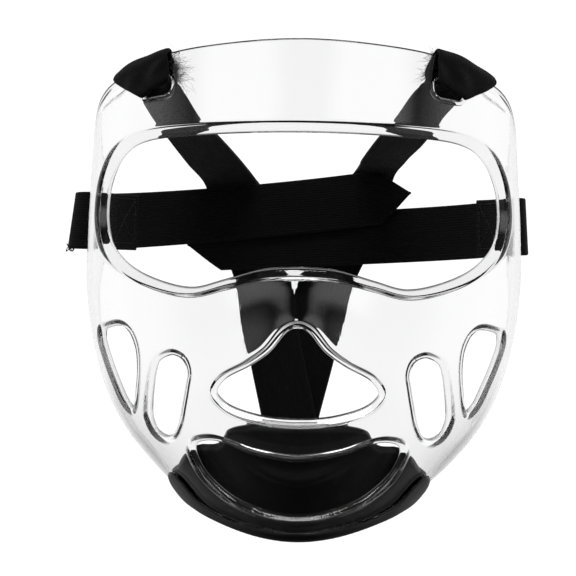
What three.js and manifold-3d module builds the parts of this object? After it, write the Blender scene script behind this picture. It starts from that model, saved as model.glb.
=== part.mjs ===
// A clear moulded face guard with a soft chin pad and four webbing straps.
// Units are millimetres. +Z is up, the front faces -Y and +X is the wearer's left.
// The pieces are built round a working origin at the bridge of the nose, in the plane
// where the guard is widest, and the outer group then moves the chin seat to the origin.
import * as THREE from 'three';
import { mergeVertices } from 'three/addons/utils/BufferGeometryUtils.js';
import Module from 'manifold-3d';

const wasm = await Module();
wasm.setup();

// ---- driving dimensions ----

const WALL = 2.6; // clear sheet
const GAP = 0.4; // clearance between neighbouring pieces
const SPREAD = 84; // flat pattern millimetres for each radian of turn
const SHEET_CELL = 6.3; // grid of the clear sheet's flat pattern
const PAD_CELL = 7.6; // grid of the chin pad's flat pattern
const RIM_CELL = 4.4; // grid of its narrow rim
const SNAP = 0.3; // share of a cell over which grid points move onto an outline
const PAD_THICKNESS = 8;
const MOUTH_STEP = 6; // width over which the pad steps back behind the mouth opening
const RIM_PROUD = 1.4; // how far the chin pad's rim stands in front of the clear sheet
const STRAP_WIDTH = 25;
const STRAP_THICKNESS = 1.8;
const STRAP_STEPS = 2; // bends modelled between two rows of a strap's route
const TIP_TURN = 10.6; // degrees of the head loop taken by a side strap's pointed end
const HEAD_LOOP = { halfWidth: 91, depth: 72, back: 20 }; // side straps behind the ears
const LAYER = 2.3; // distance between the two side straps where they overlap
const TIP_BLUNT = 0.03; // share of a strap's width left at its point
const STEP = 0.05; // small step for slopes
const BRIDGE_SPREAD = 18; // width over which the eye opening's lip widens above the nose
const SEAT_HEIGHT = -79; // middle of the chin pad's inner face

// Level sections of the clear sheet: half an ellipse in front of the widest plane.
const SECTIONS = [
  { height: -106, halfWidth: 44, depth: 69 },
  { height: -92, halfWidth: 51, depth: 72.5 },
  { height: -78, halfWidth: 61, depth: 75 },
  { height: -61, halfWidth: 75, depth: 76.5 },
  { height: -44, halfWidth: 84, depth: 77 },
  { height: -20, halfWidth: 90.5, depth: 76.5 },
  { height: 0, halfWidth: 93, depth: 75.5 },
  { height: 20, halfWidth: 93, depth: 74 },
  { height: 50, halfWidth: 91.5, depth: 71 },
  { height: 80, halfWidth: 89.5, depth: 66 },
  { height: 104, halfWidth: 87, depth: 60 },
];

// The nose stands out of those sections by rise, fading sideways over spread.
const NOSE = [
  { height: -60, rise: 0, spread: 32 },
  { height: -50, rise: 1.5, spread: 32 },
  { height: -38, rise: 7, spread: 28 },
  { height: -26, rise: 10, spread: 24 },
  { height: -14, rise: 9, spread: 20 },
  { height: -4, rise: 5.5, spread: 17 },
  { height: 6, rise: 2, spread: 15 },
  { height: 14, rise: 0, spread: 15 },
];

// Outlines give one half, from the top centre round the side to the bottom centre.
// Turn is the angle round the face in degrees, 0 in front and 90 at the widest plane.
const SHEET_OUTLINE = [
  { turn: 0, height: 101.9 },
  { turn: 20, height: 100.2 },
  { turn: 40, height: 96.4 },
  { turn: 48, height: 93.7 },
  { turn: 55, height: 90.5 },
  { turn: 62, height: 87 },
  { turn: 69, height: 83.5 },
  { turn: 77, height: 78.2 },
  { turn: 84, height: 70.2 },
  { turn: 90, height: 62.3 },
  { turn: 100, height: 54 },
  { turn: 110, height: 48 },
  { turn: 114, height: 40 },
  { turn: 114, height: 16 },
  { turn: 110, height: 7 },
  { turn: 100, height: -2 },
  { turn: 94, height: -18 },
  { turn: 92, height: -40 },
  { turn: 88, height: -60 },
  { turn: 80, height: -72.5 },
  { turn: 68, height: -80 },
  { turn: 55, height: -87 },
  { turn: 41, height: -93 },
  { turn: 20, height: -97.8 },
  { turn: 0, height: -99.3 },
];

// Centre openings, each drawn along the bend of its inward lip. The lip runs over
// lipTop along most of the opening and reaches lipBottom at its lowest point, where
// a bridge widens it over the nose.
const CENTRE_OPENINGS = [
  {
    lipTop: 4,
    lipBottom: 4,
    lipDepth: 4.5,
    bridge: 4.5,
    outline: [
      { turn: 0, height: 67.3 },
      { turn: 28, height: 66.2 },
      { turn: 48, height: 63.9 },
      { turn: 57, height: 60 },
      { turn: 64.5, height: 52.5 },
      { turn: 70, height: 41 },
      { turn: 70.5, height: 29 },
      { turn: 66, height: 17.5 },
      { turn: 57, height: 8.5 },
      { turn: 44, height: 0.8 },
      { turn: 29, height: -3.3 },
      { turn: 19, height: 0 },
      { turn: 9.5, height: 3.5 },
      { turn: 0, height: 4.2 },
    ],
  },
  {
    lipTop: 1.8,
    lipBottom: 4.2,
    lipDepth: 3.5,
    outline: [
      { turn: 0, height: -13.8 },
      { turn: 3.5, height: -15.5 },
      { turn: 9, height: -25 },
      { turn: 14, height: -30.3 },
      { turn: 22, height: -36.5 },
      { turn: 25, height: -42.5 },
      { turn: 22, height: -49 },
      { turn: 12.5, height: -54.3 },
      { turn: 0, height: -56 },
    ],
  },
  {
    lipTop: 2.8,
    lipBottom: 2.2,
    lipDepth: 3.5,
    outline: [
      { turn: 0, height: -68.4 },
      { turn: 15, height: -66 },
      { turn: 29, height: -61.2 },
      { turn: 38.5, height: -65 },
      { turn: 40.5, height: -76 },
      { turn: 33, height: -85.5 },
      { turn: 18, height: -91 },
      { turn: 0, height: -93 },
    ],
  },
];

// Slots on each side, as a straight line widened by radius, again along the lip's bend.
const SIDE_SLOTS = {
  corner: {
    from: { turn: 56.5, height: 79 }, to: { turn: 39, height: 84 },
    radius: 5, lipRun: 1.2, lipDepth: 2,
  },
  strap: {
    from: { turn: 105, height: 16 }, to: { turn: 105, height: 41 },
    radius: 3, lipRun: 0, lipDepth: 0,
  },
};

// The two vents in each cheek, drawn whole along their lip's bend.
const CHEEK_VENTS = {
  slot: {
    lipRun: 1.3,
    lipDepth: 3.2,
    outline: [
      { turn: 35.7, height: -27.2 },
      { turn: 32.5, height: -29.5 },
      { turn: 31.5, height: -34.5 },
      { turn: 32.7, height: -40 },
      { turn: 35.3, height: -48 },
      { turn: 39, height: -56 },
      { turn: 44, height: -61.5 },
      { turn: 49.7, height: -62.8 },
      { turn: 53.2, height: -60.2 },
      { turn: 53, height: -55 },
      { turn: 50, height: -48.5 },
      { turn: 47, height: -41.7 },
      { turn: 44.5, height: -35 },
      { turn: 42.2, height: -30.2 },
      { turn: 39, height: -27.9 },
    ],
  },
  leaf: {
    lipRun: 1.8,
    lipDepth: 3,
    outline: [
      { turn: 55, height: -15.8 },
      { turn: 64, height: -16.3 },
      { turn: 69.5, height: -18.3 },
      { turn: 71.7, height: -23 },
      { turn: 69.8, height: -31 },
      { turn: 67.3, height: -40 },
      { turn: 65.5, height: -49 },
      { turn: 61.8, height: -52.2 },
      { turn: 57.4, height: -49 },
      { turn: 52.5, height: -40 },
      { turn: 50.2, height: -32 },
      { turn: 49.8, height: -24.5 },
      { turn: 51.4, height: -19 },
    ],
  },
};

const PAD_OUTLINE = [
  { turn: 0, height: -56.2 },
  { turn: 17, height: -56.3 },
  { turn: 24, height: -58.8 },
  { turn: 28, height: -63.2 },
  { turn: 32, height: -66 },
  { turn: 37, height: -67.2 },
  { turn: 42, height: -68 },
  { turn: 47, height: -70.3 },
  { turn: 53, height: -73.6 },
  { turn: 59, height: -76.8 },
  { turn: 62, height: -79.6 },
  { turn: 60, height: -83.6 },
  { turn: 55, height: -87 },
  { turn: 41, height: -92.5 },
  { turn: 20, height: -97.5 },
  { turn: 0, height: -99 },
];

const RIM_OUTLINE = [
  { turn: 0, height: -97.8 },
  { turn: 20, height: -96.2 },
  { turn: 41, height: -91.2 },
  { turn: 49, height: -86.5 },
  { turn: 52.5, height: -80 },
  { turn: 56, height: -76.3 },
  { turn: 61, height: -76.8 },
  { turn: 65.5, height: -80.3 },
  { turn: 66.5, height: -83.5 },
  { turn: 64, height: -88.5 },
  { turn: 54, height: -92.8 },
  { turn: 43, height: -95.8 },
  { turn: 19, height: -100.9 },
  { turn: 0, height: -102.4 },
];

// A side strap's sewn loop round the sheet's rear bar. Out is measured from the sheet's
// outer face, back from the strap slot's middle, and swell is its share of the slack.
const SIDE_LOOP = [
  { out: -15.9, back: 35.3, swell: 0 },
  { out: -10.6, back: 26.6, swell: 0 },
  { out: -7.2, back: 18.5, swell: 0 },
  { out: -5.4, back: 11.1, swell: 0 },
  { out: -4.9, back: 5.5, swell: 0 },
  { out: -4.6, back: 2, swell: 0 },
  { out: -2.4, back: 0.1, swell: 0 },
  { out: 0.2, back: -0.3, swell: 0.1 },
  { out: 1.6, back: 1.3, swell: 0.6 },
  { out: 2, back: 5.5, swell: 1 },
  { out: 1.7, back: 11.1, swell: 0.75 },
  { out: 0.3, back: 15, swell: 0.25 },
  { out: -2.3, back: 17.4, swell: 0 },
];

const SIDE_STRAPS = [
  {
    name: 'left_side_strap', side: -1, slack: 7.4, lean: 0.09, layer: 0,
    barHeight: 28.7, tipHeight: 44.6, climb: 1.4, tipTurn: 121.3,
  },
  {
    name: 'right_side_strap', side: 1, slack: 1.6, lean: 0.02, layer: 1,
    barHeight: 28.1, tipHeight: 19.4, climb: 1.1, tipTurn: 126.6,
  },
];

// A top strap from its sewn end, through the slot, over the corner bar and back again.
// Out and up are measured from the bar's middle, aside along it on the strap's own skew.
const CORNER_LOOP = [
  { out: -18, up: -10.2, aside: 4.4 },
  { out: -12, up: -9.6, aside: 2.7 },
  { out: -6, up: -8.8, aside: 1.4 },
  { out: -1.5, up: -8.35, aside: 0.8 },
  { out: 1.6, up: -7.85, aside: 0.8 },
  { out: 3.2, up: -6.1, aside: 1 },
  { out: 3.4, up: -1.8, aside: 1 },
  { out: 3.2, up: 2.8, aside: 1 },
  { out: 2.4, up: 5.7, aside: 1 },
  { out: 0.1, up: 7.7, aside: 1 },
  { out: -2.8, up: 7, aside: 1 },
  { out: -4.9, up: 4.3, aside: 1.1 },
  { out: -6.8, up: 0.4, aside: 1.4 },
  { out: -9.6, up: -3.8, aside: 2.1 },
  { out: -13.6, up: -6.8, aside: 3.2 },
  { out: -18, up: -8.1, aside: 4.6 },
];

// The rest of each top strap on the +X side. Yaw and pitch aim its width, in degrees
// from +X towards +Y and up.
const TOP_STRAPS = [
  {
    name: 'left_top_strap',
    side: -1,
    skew: 1,
    route: [
      { x: 55, y: -19.7, z: 73.9, yaw: 24, pitch: -3 },
      { x: 52.7, y: -10, z: 70.2, yaw: 17, pitch: 2 },
      { x: 47.6, y: 22, z: 63.9, yaw: 12, pitch: 5 },
      { x: 41.1, y: 60, z: 56.8, yaw: 12, pitch: 5 },
      { x: 38.8, y: 78, z: 53.2, yaw: 8, pitch: 3 },
      { x: 37.1, y: 88, z: 51.1, yaw: 0, pitch: 0 },
      { x: 36, y: 93.6, z: 48.6, yaw: -5, pitch: -4 },
      { x: 34.6, y: 97, z: 43.5, yaw: -7, pitch: -9 },
      { x: 30.6, y: 98.9, z: 31, yaw: -7, pitch: -14 },
      { x: 25, y: 99.6, z: 14, yaw: -5, pitch: -14 },
      { x: 20.2, y: 99.5, z: -1, yaw: -2, pitch: -13 },
      { x: 15.6, y: 98, z: -27, yaw: 0, pitch: -10 },
      { x: 8.9, y: 96, z: -57.5, yaw: 0, pitch: -11 },
      { x: 5.6, y: 95, z: -73, yaw: 0, pitch: -11 },
    ],
  },
  {
    name: 'right_top_strap',
    side: 1,
    skew: 0.5,
    route: [
      { x: 50.4, y: -18, z: 74.5, yaw: 24, pitch: -3 },
      { x: 47.3, y: -8, z: 71.2, yaw: 17, pitch: 2 },
      { x: 41.1, y: 24, z: 64.6, yaw: 12, pitch: 5 },
      { x: 36.8, y: 50, z: 60.6, yaw: 11, pitch: 5 },
      { x: 34.2, y: 72, z: 58.3, yaw: 8, pitch: 4 },
      { x: 32.8, y: 86, z: 57.2, yaw: 2, pitch: 2 },
      { x: 31, y: 93, z: 55.2, yaw: -4, pitch: -3 },
      { x: 29.2, y: 97.6, z: 49.6, yaw: -8, pitch: -10 },
      { x: 26.2, y: 100, z: 41.5, yaw: -8, pitch: -18 },
      { x: 21.4, y: 101.4, z: 31, yaw: -6, pitch: -22 },
      { x: 13.9, y: 102.4, z: 14, yaw: -3, pitch: -21 },
      { x: 7.8, y: 102.2, z: -1, yaw: 0, pitch: -17 },
      { x: 1.7, y: 100.8, z: -27, yaw: 0, pitch: -13 },
      { x: -6.4, y: 98.8, z: -57.5, yaw: 0, pitch: -14 },
      { x: -10.2, y: 97.8, z: -73, yaw: 0, pitch: -14 },
    ],
  },
];

// ---- tables as smooth functions ----

function smoothTable(rows, names) {
  const heights = rows.map((row) => row.height);
  const values = rows.flatMap((row) => names.map((name) => row[name]));
  const spline = new THREE.CubicInterpolant(heights, values, names.length);
  return (height) => spline.evaluate(height);
}

const sectionAt = smoothTable(SECTIONS, ['halfWidth', 'depth']);
const noseAt = smoothTable(NOSE, ['rise', 'spread']);

// ---- the form: a flat point (turn times SPREAD, height) becomes a point in space ----

function faceForm(flat) {
  const [halfWidth, depth] = sectionAt(flat.y);
  const turn = Math.abs(flat.x) / SPREAD;
  const round = Math.min(turn, Math.PI / 2);
  const side = Math.sign(flat.x);
  const x = side * halfWidth * Math.sin(round);
  const y = -depth * Math.cos(round) + depth * (turn - round);
  const [rise, spread] = noseAt(flat.y);
  return new THREE.Vector3(x, y - Math.max(rise, 0) * Math.exp(-((x / spread) ** 2)), flat.y);
}

function formNormal(flat) {
  const step = 0.5;
  const at = (dx, dy) => faceForm(new THREE.Vector2(flat.x + dx, flat.y + dy));
  const across = at(step, 0).sub(at(-step, 0));
  const upward = at(0, step).sub(at(0, -step));
  return across.cross(upward).normalize();
}

function formed(flat, inward) {
  return faceForm(flat).addScaledVector(formNormal(flat), -inward);
}

function flatPoint({ turn, height }) {
  return new THREE.Vector2(THREE.MathUtils.degToRad(turn) * SPREAD, height);
}

// ---- outlines as signed distances, negative inside ----

function smoothLoop(points) {
  const curve = new THREE.CatmullRomCurve3(
    points.map((point) => new THREE.Vector3(point.x, point.y, 0)), true, 'centripetal');
  return curve.getPoints(points.length * 6).slice(0, -1);
}

function mirroredLoop(rows) {
  const half = rows.map(flatPoint);
  const other = half.slice(1, -1).reverse().map((point) => new THREE.Vector2(-point.x, point.y));
  return smoothLoop([...half, ...other]);
}

function segmentDistance(point, from, to) {
  const along = new THREE.Vector2(to.x - from.x, to.y - from.y);
  const offset = new THREE.Vector2(point.x - from.x, point.y - from.y);
  const share = THREE.MathUtils.clamp(offset.dot(along) / along.lengthSq(), 0, 1);
  return offset.addScaledVector(along, -share).length();
}

function loopDistance(loop) {
  return (point) => {
    let nearest = Infinity;
    let inside = false;
    loop.forEach((to, index) => {
      const from = loop[(index + loop.length - 1) % loop.length];
      nearest = Math.min(nearest, segmentDistance(point, from, to));
      const crosses = (from.y > point.y) !== (to.y > point.y);
      const share = (point.y - from.y) / (to.y - from.y);
      if (crosses && point.x < from.x + share * (to.x - from.x)) inside = !inside;
    });
    return inside ? -nearest : nearest;
  };
}

// An opening knows its distance and how its lip runs at a height.
function centreOpening({ outline, lipTop, lipBottom, lipDepth, bridge = 0 }) {
  const top = outline[0].height;
  const bottom = outline[outline.length - 1].height;
  const run = (point) => {
    const share = THREE.MathUtils.clamp((top - point.y) / (top - bottom), 0, 1);
    const overNose = bridge * Math.exp(-((point.x / BRIDGE_SPREAD) ** 2));
    return THREE.MathUtils.lerp(lipTop, lipBottom + overNose, share ** 4);
  };
  return { distance: loopDistance(mirroredLoop(outline)), run, lipDepth };
}

function bothSides(distance, lipRun, lipDepth) {
  const mirrored = (point) => distance(new THREE.Vector2(Math.abs(point.x), point.y));
  return { distance: mirrored, run: () => lipRun, lipDepth };
}

function slotOpening({ from, to, radius, lipRun, lipDepth }) {
  const [start, end] = [flatPoint(from), flatPoint(to)];
  return bothSides((point) => segmentDistance(point, start, end) - radius, lipRun, lipDepth);
}

function ventOpening({ outline, lipRun, lipDepth }) {
  return bothSides(loopDistance(smoothLoop(outline.map(flatPoint))), lipRun, lipDepth);
}

// ---- flat patterns: a grid scribed along outlines, then trimmed ----

function gridPattern(outline, cell) {
  const limits = new THREE.Box2().setFromPoints(outline).expandByScalar(cell);
  const size = limits.getSize(new THREE.Vector2());
  const columns = 2 * Math.ceil(size.x / cell / 2);
  const rows = Math.ceil(size.y / cell);
  const pattern = { points: [], fixed: [], faces: [], cell };
  for (let row = 0; row <= rows; row += 1) {
    for (let column = 0; column <= columns; column += 1) {
      const share = new THREE.Vector2(column / columns, row / rows);
      pattern.points.push(limits.min.clone().add(share.multiply(size)));
    }
  }
  for (let row = 0; row < rows; row += 1) {
    for (let column = 0; column < columns; column += 1) {
      const a = row * (columns + 1) + column;
      const [b, c, d] = [a + 1, a + columns + 2, a + columns + 1];
      const leaning = (column < columns / 2) === (row % 2 === 0);
      if (leaning) pattern.faces.push([a, b, c], [a, c, d]);
      else pattern.faces.push([a, b, d], [b, c, d]);
    }
  }
  return pattern;
}

// Moves a nearby grid point onto the level's zero line and returns its level there.
function snapped(pattern, index, level) {
  const point = pattern.points[index];
  const value = level(point);
  if (Math.abs(value) > SNAP * pattern.cell || pattern.fixed[index]) return value;
  for (let round = 0; round < 3; round += 1) {
    const here = level(point);
    const slope = new THREE.Vector2(
      level(new THREE.Vector2(point.x + STEP, point.y)) - here,
      level(new THREE.Vector2(point.x, point.y + STEP)) - here).divideScalar(STEP);
    point.addScaledVector(slope, -here / Math.max(slope.lengthSq(), 0.25));
  }
  pattern.fixed[index] = true;
  return 0;
}

// The place between two points of opposite levels where the level is zero.
function crossing(level, below, above) {
  let [low, high] = [below, above];
  for (let round = 0; round < 12; round += 1) {
    const middle = low.clone().lerp(high, 0.5);
    if (level(middle) < 0) low = middle;
    else high = middle;
  }
  return low.clone().lerp(high, 0.5);
}

function splitFace(face, values, cutPoint) {
  const signs = face.map((index) => Math.sign(values[index]));
  if (!signs.includes(1) || !signs.includes(-1)) return [face];
  const majority = Math.sign(signs[0] + signs[1] + signs[2]);
  const pivot = signs.includes(0) ? signs.indexOf(0) : signs.indexOf(-majority);
  const [a, b, c] = [0, 1, 2].map((turn) => face[(pivot + turn) % 3]);
  if (signs.includes(0)) {
    const middle = cutPoint(b, c);
    return [[a, b, middle], [a, middle, c]];
  }
  const [first, last] = [cutPoint(a, b), cutPoint(a, c)];
  return [[a, first, last], [first, b, c], [first, c, last]];
}

// Splits the pattern's faces so that their edges follow the level's zero line.
function scribe(pattern, level) {
  const { points } = pattern;
  const values = points.map((_, index) => snapped(pattern, index, level));
  const cuts = new Map();
  const cutPoint = (a, b) => {
    const key = `${Math.min(a, b)}_${Math.max(a, b)}`;
    if (!cuts.has(key)) {
      cuts.set(key, points.length);
      const [below, above] = values[a] < 0 ? [a, b] : [b, a];
      points.push(crossing(level, points[below], points[above]));
      values.push(0);
      pattern.fixed[points.length - 1] = true;
    }
    return cuts.get(key);
  };
  pattern.faces = pattern.faces.flatMap((face) => splitFace(face, values, cutPoint));
}

// Scribes along the level's zero line and keeps only what lies on its positive side.
function trim(pattern, level) {
  scribe(pattern, level);
  pattern.faces = pattern.faces.filter((face) => {
    const centre = new THREE.Vector2();
    face.forEach((index) => centre.addScaledVector(pattern.points[index], 1 / 3));
    return level(centre) > 0;
  });
}

// ---- solids ----

// Gives a trimmed pattern its form and a wall between two depths inward of the face.
function thickPanel(pattern, outer, inner) {
  const count = pattern.points.length;
  const positions = [outer, inner].flatMap((depth) => pattern.points.flatMap(
    (point) => formed(point, depth(point)).toArray()));
  const edges = new Set(pattern.faces.flatMap(([a, b, c]) => [`${a}_${b}`, `${b}_${c}`, `${c}_${a}`]));
  const triangles = pattern.faces.flatMap(([a, b, c]) => [a, b, c, c + count, b + count, a + count]);
  edges.forEach((edge) => {
    const [a, b] = edge.split('_').map(Number);
    if (edges.has(`${b}_${a}`)) return;
    triangles.push(b, a, a + count, b, a + count, b + count);
  });
  return solidFrom(positions, triangles);
}

function solidFrom(positions, triangles) {
  const used = [...new Set(triangles)];
  const order = new Map(used.map((index, place) => [index, place]));
  const geometry = new THREE.BufferGeometry();
  geometry.setAttribute('position', new THREE.Float32BufferAttribute(
    used.flatMap((index) => positions.slice(index * 3, index * 3 + 3)), 3));
  geometry.setIndex(triangles.map((index) => order.get(index)));
  return geometry;
}

function toManifold(geometry) {
  return new wasm.Manifold(new wasm.Mesh({
    numProp: 3,
    vertProperties: Float32Array.from(geometry.getAttribute('position').array),
    triVerts: Uint32Array.from(geometry.getIndex().array),
  }));
}

function toGeometry(manifold) {
  const mesh = manifold.getMesh();
  const geometry = new THREE.BufferGeometry();
  geometry.setAttribute('position', new THREE.Float32BufferAttribute(mesh.vertProperties, 3));
  geometry.setIndex([...mesh.triVerts]);
  return geometry;
}

// ---- the clear sheet ----

const OPENINGS = [
  ...CENTRE_OPENINGS.map(centreOpening),
  ...Object.values(SIDE_SLOTS).map(slotOpening),
  ...Object.values(CHEEK_VENTS).map(ventOpening),
];

const MOUTH = 2; // place of the mouth opening in that list

function lipDepth(point) {
  const depths = OPENINGS.filter((opening) => opening.lipDepth > 0).map((opening) => {
    const share = -opening.distance(point) / opening.run(point);
    return opening.lipDepth * THREE.MathUtils.clamp(share, 0, 1);
  });
  return Math.max(...depths);
}

function clearSheet() {
  const outline = mirroredLoop(SHEET_OUTLINE);
  const pattern = gridPattern(outline, SHEET_CELL);
  const edge = loopDistance(outline);
  trim(pattern, (point) => -edge(point));
  OPENINGS.forEach((opening) => {
    trim(pattern, (point) => opening.distance(point) + opening.run(point));
    if (opening.lipDepth > 0) scribe(pattern, opening.distance);
  });
  return thickPanel(pattern, lipDepth, (point) => lipDepth(point) + WALL);
}

// The space that the lower sheet needs inside the chin pad's groove.
function sheetClearance() {
  const outline = mirroredLoop(SHEET_OUTLINE);
  const edge = loopDistance(outline);
  const pattern = gridPattern(outline.filter((point) => point.y < PAD_OUTLINE[0].height), PAD_CELL);
  trim(pattern, (point) => GAP - edge(point));
  return thickPanel(pattern, () => -GAP, () => WALL + GAP);
}

// ---- the chin pad ----

function padPanel(rows, cell, outer, inner) {
  const outline = mirroredLoop(rows);
  const pattern = gridPattern(outline, cell);
  const edge = loopDistance(outline);
  trim(pattern, (point) => -edge(point));
  return toManifold(thickPanel(pattern, outer, inner));
}

// The pad's face lies against the sheet and steps back behind the mouth opening's lip.
function padFace(point) {
  const mouth = OPENINGS[MOUTH];
  const near = 1 - THREE.MathUtils.smoothstep(mouth.distance(point), 0, MOUTH_STEP);
  return WALL + GAP + near * (mouth.lipDepth + GAP);
}

function chinPad() {
  const back = () => WALL + GAP + PAD_THICKNESS;
  const pad = padPanel(PAD_OUTLINE, PAD_CELL, padFace, back);
  const rim = padPanel(RIM_OUTLINE, RIM_CELL, () => -RIM_PROUD, back);
  return toGeometry(pad.add(rim).subtract(toManifold(sheetClearance())));
}

// ---- the straps ----

// Bends a flat strap along stations of { at, across }. The last interval is its point.
function webbing(stations, pointed) {
  const spans = stations.length - 1;
  const route = new THREE.CatmullRomCurve3(stations.map(({ at }) => at));
  const acrossAt = (place) => {
    const index = Math.min(Math.floor(place), spans - 1);
    return stations[index].across.clone().lerp(stations[index + 1].across, place - index);
  };
  const geometry = new THREE.BoxGeometry(1, STRAP_WIDTH, STRAP_THICKNESS, spans * STRAP_STEPS, 1, 1);
  geometry.deleteAttribute('normal');
  geometry.deleteAttribute('uv');
  const strap = mergeVertices(geometry);
  const places = strap.getAttribute('position');
  const corner = new THREE.Vector3();
  for (let index = 0; index < places.count; index += 1) {
    corner.fromBufferAttribute(places, index);
    const share = THREE.MathUtils.clamp(corner.x + 0.5, 0, 1);
    const along = route.getTangent(share);
    const across = acrossAt(share * spans).projectOnPlane(along).normalize();
    const thick = along.clone().cross(across);
    const left = (1 - share) * spans;
    const narrowing = pointed && left < 1 ? Math.max(left, TIP_BLUNT) : 1;
    const place = route.getPoint(share)
      .addScaledVector(across, corner.y * narrowing)
      .addScaledVector(thick, corner.z);
    places.setXYZ(index, place.x, place.y, place.z);
  }
  return strap;
}

// Behind its loop a side strap follows the head in plan, rising or falling to its tip.
function headLoop({ layer, tipTurn }) {
  const rounds = 7;
  const first = 18;
  const turns = Array.from({ length: rounds }, (_, index) => (
    THREE.MathUtils.mapLinear(index, 0, rounds - 1, first, tipTurn - TIP_TURN)));
  return [...turns, tipTurn].map((turn) => {
    const angle = THREE.MathUtils.degToRad(turn);
    const outside = layer * LAYER * Math.min(1, turn / 60);
    return new THREE.Vector2(
      (HEAD_LOOP.halfWidth + outside) * Math.cos(angle),
      HEAD_LOOP.back + (HEAD_LOOP.depth + outside) * Math.sin(angle));
  });
}

function sideStrap(strap) {
  const [low, slot, high] = [-10, 0, 10].map((step) => (
    faceForm(flatPoint({ turn: SIDE_SLOTS.strap.from.turn, height: strap.barHeight + step }))));
  const wall = high.sub(low).normalize();
  const loop = SIDE_LOOP.map(({ out, back, swell }) => (
    new THREE.Vector2(slot.x + out + swell * strap.slack, slot.y + back)));
  const plan = [...loop, ...headLoop(strap)];
  const lengths = plan.map((point, index) => (index < loop.length ? 0 : point.distanceTo(plan[index - 1])));
  const total = lengths.reduce((sum, length) => sum + length, 0);
  let run = 0;
  return webbing(plan.map((point, index) => {
    run += lengths[index];
    const rise = (strap.tipHeight - strap.barHeight) * (run / total) ** strap.climb;
    const lean = index < loop.length ? wall.x - strap.lean * SIDE_LOOP[index].swell : 0;
    return {
      at: new THREE.Vector3(strap.side * point.x, point.y, strap.barHeight + rise),
      across: new THREE.Vector3(strap.side * lean, 0, 1),
    };
  }), true);
}

// The bar between a corner slot and the sheet's top edge, on the +X side.
function cornerBar() {
  const { from, to, radius, lipRun } = SIDE_SLOTS.corner;
  const turn = (from.turn + to.turn) / 2;
  const slotTop = (from.height + to.height) / 2 + radius - lipRun;
  const sheetTop = SHEET_OUTLINE.find((row) => row.turn > turn).height;
  const middle = flatPoint({ turn, height: (slotTop + sheetTop) / 2 });
  const along = faceForm(flatPoint(from)).sub(faceForm(flatPoint(to))).normalize();
  const out = formNormal(middle);
  return { centre: formed(middle, WALL / 2), out, along, up: out.clone().cross(along).normalize() };
}

function topStrap({ side, skew, route }) {
  const bar = cornerBar();
  const free = ({ x, y, z, yaw, pitch }) => {
    const [turn, lift] = [yaw, pitch].map(THREE.MathUtils.degToRad);
    return {
      at: new THREE.Vector3(x, y, z),
      across: new THREE.Vector3(Math.cos(turn) * Math.cos(lift), Math.sin(turn) * Math.cos(lift), Math.sin(lift)),
    };
  };
  const looped = ({ out, up, aside }) => ({
    at: bar.centre.clone().addScaledVector(bar.out, out).addScaledVector(bar.up, up)
      .addScaledVector(bar.along, skew * aside),
    across: bar.along,
  });
  const stations = [...CORNER_LOOP.map(looped), ...route.map(free)];
  const mirror = new THREE.Vector3(side, 1, 1);
  return webbing(stations.map(({ at, across }) => (
    { at: at.clone().multiply(mirror), across: across.clone().multiply(mirror) })), false);
}

// ---- assembly ----

const CLEAR_PLASTIC = { color: 0xf2f5f6, roughness: 0.05, metalness: 0, transparent: true, opacity: 0.35 };
const BLACK_FOAM = { color: 0x1b1b1c, roughness: 0.55, metalness: 0 };
const BLACK_WEBBING = { color: 0x0b0b0c, roughness: 0.9, metalness: 0 };

function piece(name, geometry, look) {
  const mesh = new THREE.Mesh(geometry, new THREE.MeshStandardMaterial(look));
  mesh.name = name;
  return mesh;
}

const seat = formed(new THREE.Vector2(0, SEAT_HEIGHT), WALL + GAP + PAD_THICKNESS);
const faceGuard = new THREE.Group();
faceGuard.position.copy(seat).negate();
faceGuard.add(piece('face_shield', clearSheet(), CLEAR_PLASTIC));
faceGuard.add(piece('chin_pad', chinPad(), BLACK_FOAM));
SIDE_STRAPS.forEach((strap) => faceGuard.add(piece(strap.name, sideStrap(strap), BLACK_WEBBING)));
TOP_STRAPS.forEach((strap) => faceGuard.add(piece(strap.name, topStrap(strap), BLACK_WEBBING)));

const assembly = new THREE.Group();
assembly.add(faceGuard);

export default assembly;
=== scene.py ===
# %% [markdown]
# # A clear face guard with a chin pad and four straps
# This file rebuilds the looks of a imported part: a face guard moulded from clear plastic sheet,
# with a soft black chin pad and black hook-and-loop straps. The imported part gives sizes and
# places, and every piece here is remade finer, in the same frame, so that plastic bends light
# and webbing shows its weave. Lengths in the tables are millimetres and become metres at the end.

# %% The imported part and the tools
import math
import random

import bmesh
import bpy
import numpy as np
from mathutils import Matrix, Vector, geometry


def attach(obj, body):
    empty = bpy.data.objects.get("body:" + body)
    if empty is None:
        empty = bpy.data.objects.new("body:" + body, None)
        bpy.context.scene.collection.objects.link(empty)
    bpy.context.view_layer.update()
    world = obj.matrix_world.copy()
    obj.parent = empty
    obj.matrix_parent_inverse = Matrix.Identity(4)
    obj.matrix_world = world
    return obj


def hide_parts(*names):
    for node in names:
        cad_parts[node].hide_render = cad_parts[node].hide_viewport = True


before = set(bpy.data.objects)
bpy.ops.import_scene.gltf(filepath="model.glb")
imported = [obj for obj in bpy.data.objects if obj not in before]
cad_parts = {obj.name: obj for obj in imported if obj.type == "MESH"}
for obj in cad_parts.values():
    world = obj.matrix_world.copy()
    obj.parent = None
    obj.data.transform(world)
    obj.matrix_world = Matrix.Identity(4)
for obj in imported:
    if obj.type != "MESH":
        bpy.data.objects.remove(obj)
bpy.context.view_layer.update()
print("packed pieces:", sorted(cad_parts))

# %% [markdown]
# ## The camera
# A long lens from over a metre away keeps the guard's width honest, with nothing swollen by
# nearness. The camera's three axes are worked out first and set as one matrix, since it is
# rolled by a fraction of a degree and that is hard to say in Euler angles.

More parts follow.
